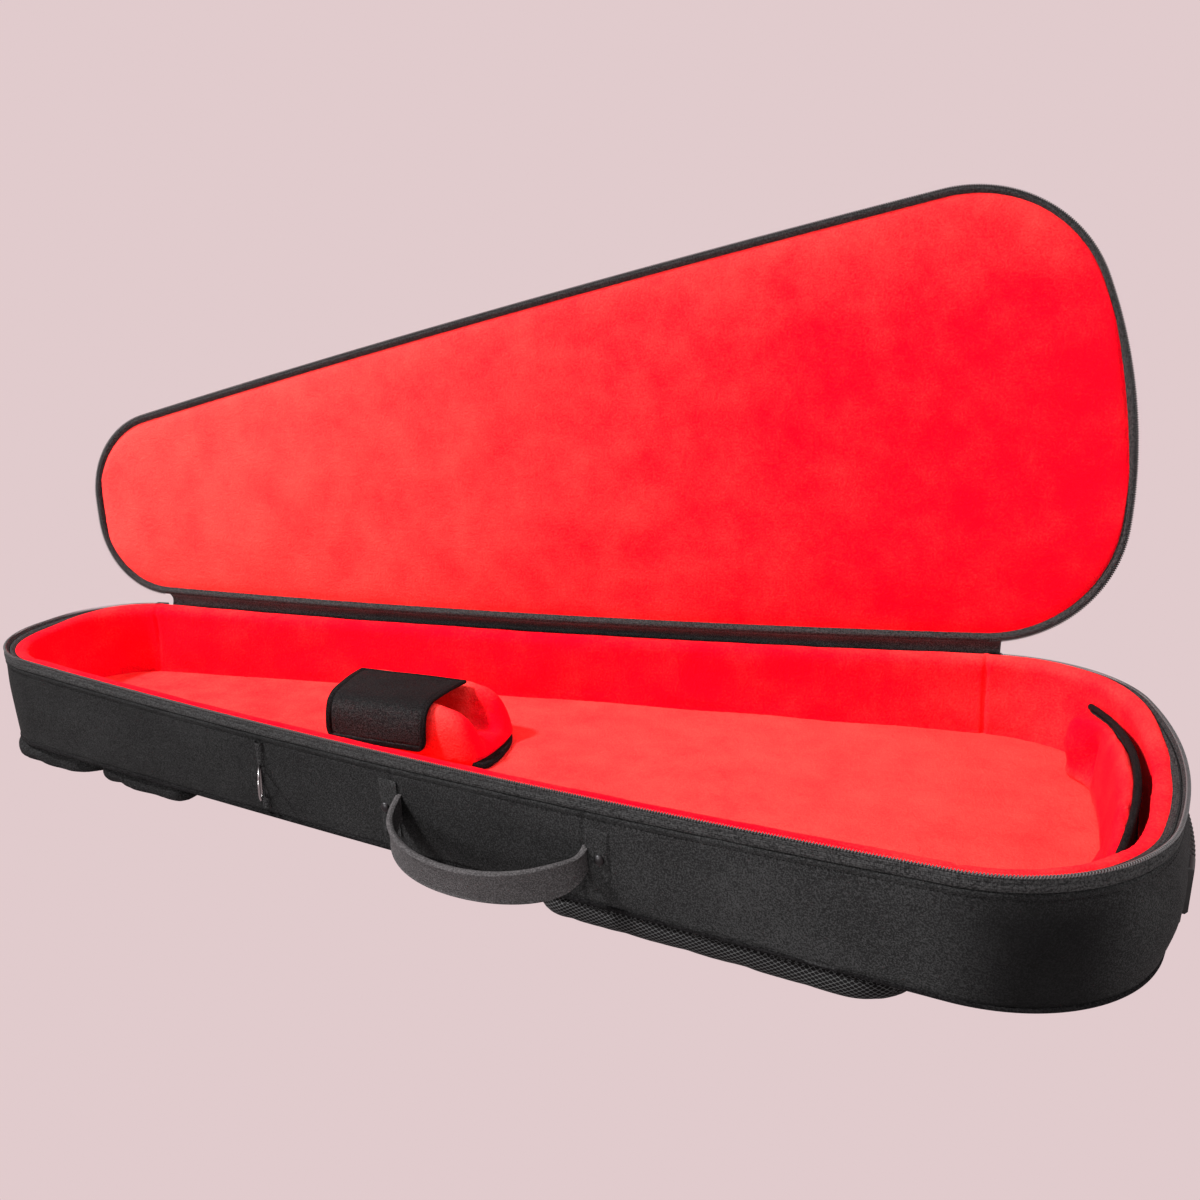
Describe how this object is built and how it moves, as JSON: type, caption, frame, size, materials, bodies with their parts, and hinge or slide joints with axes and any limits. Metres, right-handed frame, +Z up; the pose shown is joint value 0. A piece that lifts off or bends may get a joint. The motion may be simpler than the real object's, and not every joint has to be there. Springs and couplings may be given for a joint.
{
  "type": "guitar gig bag",
  "caption": "Open padded gig bag for an electric guitar: tapered black shell, red plush lining, hinged lid, neck cradle with strap, end pad, carry handle.",
  "frame": {"origin": "centre of the lumbar pad's lower face, which the bag rests on when it lies on its back", "axes": "+X along the bag towards its wide end, +Y towards the lid's hinge, +Z up through the open base"},
  "size_m": [1.1233, 0.4885, 0.5458],
  "materials": {
    "air_mesh": "black spacer mesh",
    "dark_metal": "dark plated metal",
    "foam": "closed-cell foam",
    "nylon": "coarse woven black nylon",
    "red_plush": "short red velour pile",
    "ring_steel": "plated steel wire",
    "rubber": "moulded black rubber",
    "zip_coil": "black coil teeth",
    "zip_tape": "woven black tape"
  },
  "bodies": {
    "base": {"back_panel": "nylon", "bottom_piping": "nylon", "side_panel": "nylon", "rim_band": "zip_tape", "base_zip_coil": "zip_coil", "wall_foam": "foam", "wall_lining": "red_plush", "floor_foam": "foam", "floor_lining": "red_plush", "hinge_gusset": "nylon", "handle_anchor_left": "nylon", "handle_anchor_right": "nylon", "handle_rivet_left": "dark_metal", "handle_rivet_right": "dark_metal", "ring_tab": "nylon", "end_bumper_pad": "red_plush", "end_bumper_back": "nylon", "end_bumper_binding": "nylon", "end_guard": "rubber", "yoke_pad": "nylon", "lumbar_pad": "air_mesh", "strap_cover": "nylon", "shoulder_strap_left": "nylon", "shoulder_strap_right": "nylon", "strap_buckle_left": "rubber", "strap_buckle_right": "rubber", "strap_webbing_left": "nylon", "strap_webbing_right": "nylon"},
    "lid": {"lid_front_panel": "nylon", "lid_side_panel": "nylon", "lid_band": "zip_tape", "lid_zip_coil": "zip_coil", "lid_piping": "nylon", "lid_foam": "foam", "lid_lining": "red_plush", "front_pocket": "nylon", "pocket_zip_coil": "zip_coil"},
    "pocket_slider": {"pocket_slider": "dark_metal"},
    "pocket_pull": {"pocket_pull": "dark_metal"},
    "handle": {"carry_handle": "nylon"},
    "ring": {"side_ring": "ring_steel"},
    "cradle": {"cradle_mat": "nylon", "cradle_block": "red_plush"},
    "strap": {"neck_strap": "nylon", "neck_strap_binding": "nylon"},
    "slider_wide": {"slider_wide": "dark_metal"},
    "pull_wide": {"pull_wide": "dark_metal"},
    "slider_narrow": {"slider_narrow": "dark_metal"},
    "pull_narrow": {"pull_narrow": "dark_metal"}
  },
  "joints": [
    {"name": "lid_hinge", "type": "hinge", "parent": "base", "child": "lid", "pos_m": [-0.236, 0.16175, 0.1231], "axis": [0.9928, 0.1198, 0], "range_deg": [-50, 94.8], "deforming": ["hinge_gusset"]},
    {"name": "handle_swing", "type": "hinge", "parent": "base", "child": "handle", "pos_m": [-0.16816, -0.17949, 0.065], "axis": [-0.9932, 0.1162, 0], "range_deg": [-14, 60]},
    {"name": "ring_swing", "type": "hinge", "parent": "base", "child": "ring", "pos_m": [-0.39148, -0.1452, 0.05373], "axis": [-0.0089, -0.0697, 0.9975], "range_deg": [-115, 30]},
    {"name": "cradle_slide", "type": "slide", "parent": "base", "child": "cradle", "axis": [1, 0, 0], "range_m": [-0.12, 0.12]},
    {"name": "strap_lift", "type": "hinge", "parent": "cradle", "child": "strap", "pos_m": [-0.392, 0.036, 0.0973], "axis": [1, 0, 0], "range_deg": [-110, 0]},
    {"name": "wide_zip_travel", "type": "hinge", "parent": "base", "child": "slider_wide", "pos_m": [0.179, 0.08449, 0.11201], "axis": [-0.0328, 0, 0.9995], "range_deg": [-73.8, 0]},
    {"name": "wide_pull_swing", "type": "hinge", "parent": "slider_wide", "child": "pull_wide", "pos_m": [0.1773, 0.21298, 0.10901], "axis": [0.9999, 0.0132, 0], "range_deg": [0, 90]},
    {"name": "narrow_zip_travel", "type": "hinge", "parent": "base", "child": "slider_narrow", "pos_m": [-0.69448, 0.01148, 0.11426], "axis": [0.0367, 0, 0.9993], "range_deg": [0, 69.1]},
    {"name": "narrow_pull_swing", "type": "hinge", "parent": "slider_narrow", "child": "pull_narrow", "pos_m": [-0.71935, 0.10307, 0.11126], "axis": [0.9651, 0.262, 0], "range_deg": [0, 90]},
    {"name": "pocket_zip_travel", "type": "slide", "parent": "lid", "child": "pocket_slider", "axis": [0.1289, -0.0681, -0.9893], "range_m": [0, 0.2]},
    {"name": "pocket_pull_swing", "type": "hinge", "parent": "pocket_slider", "child": "pocket_pull", "pos_m": [-0.32383, 0.20527, 0.38162], "axis": [0.9845, 0.1289, 0.1193], "range_deg": [-4, 130]}
  ]
}
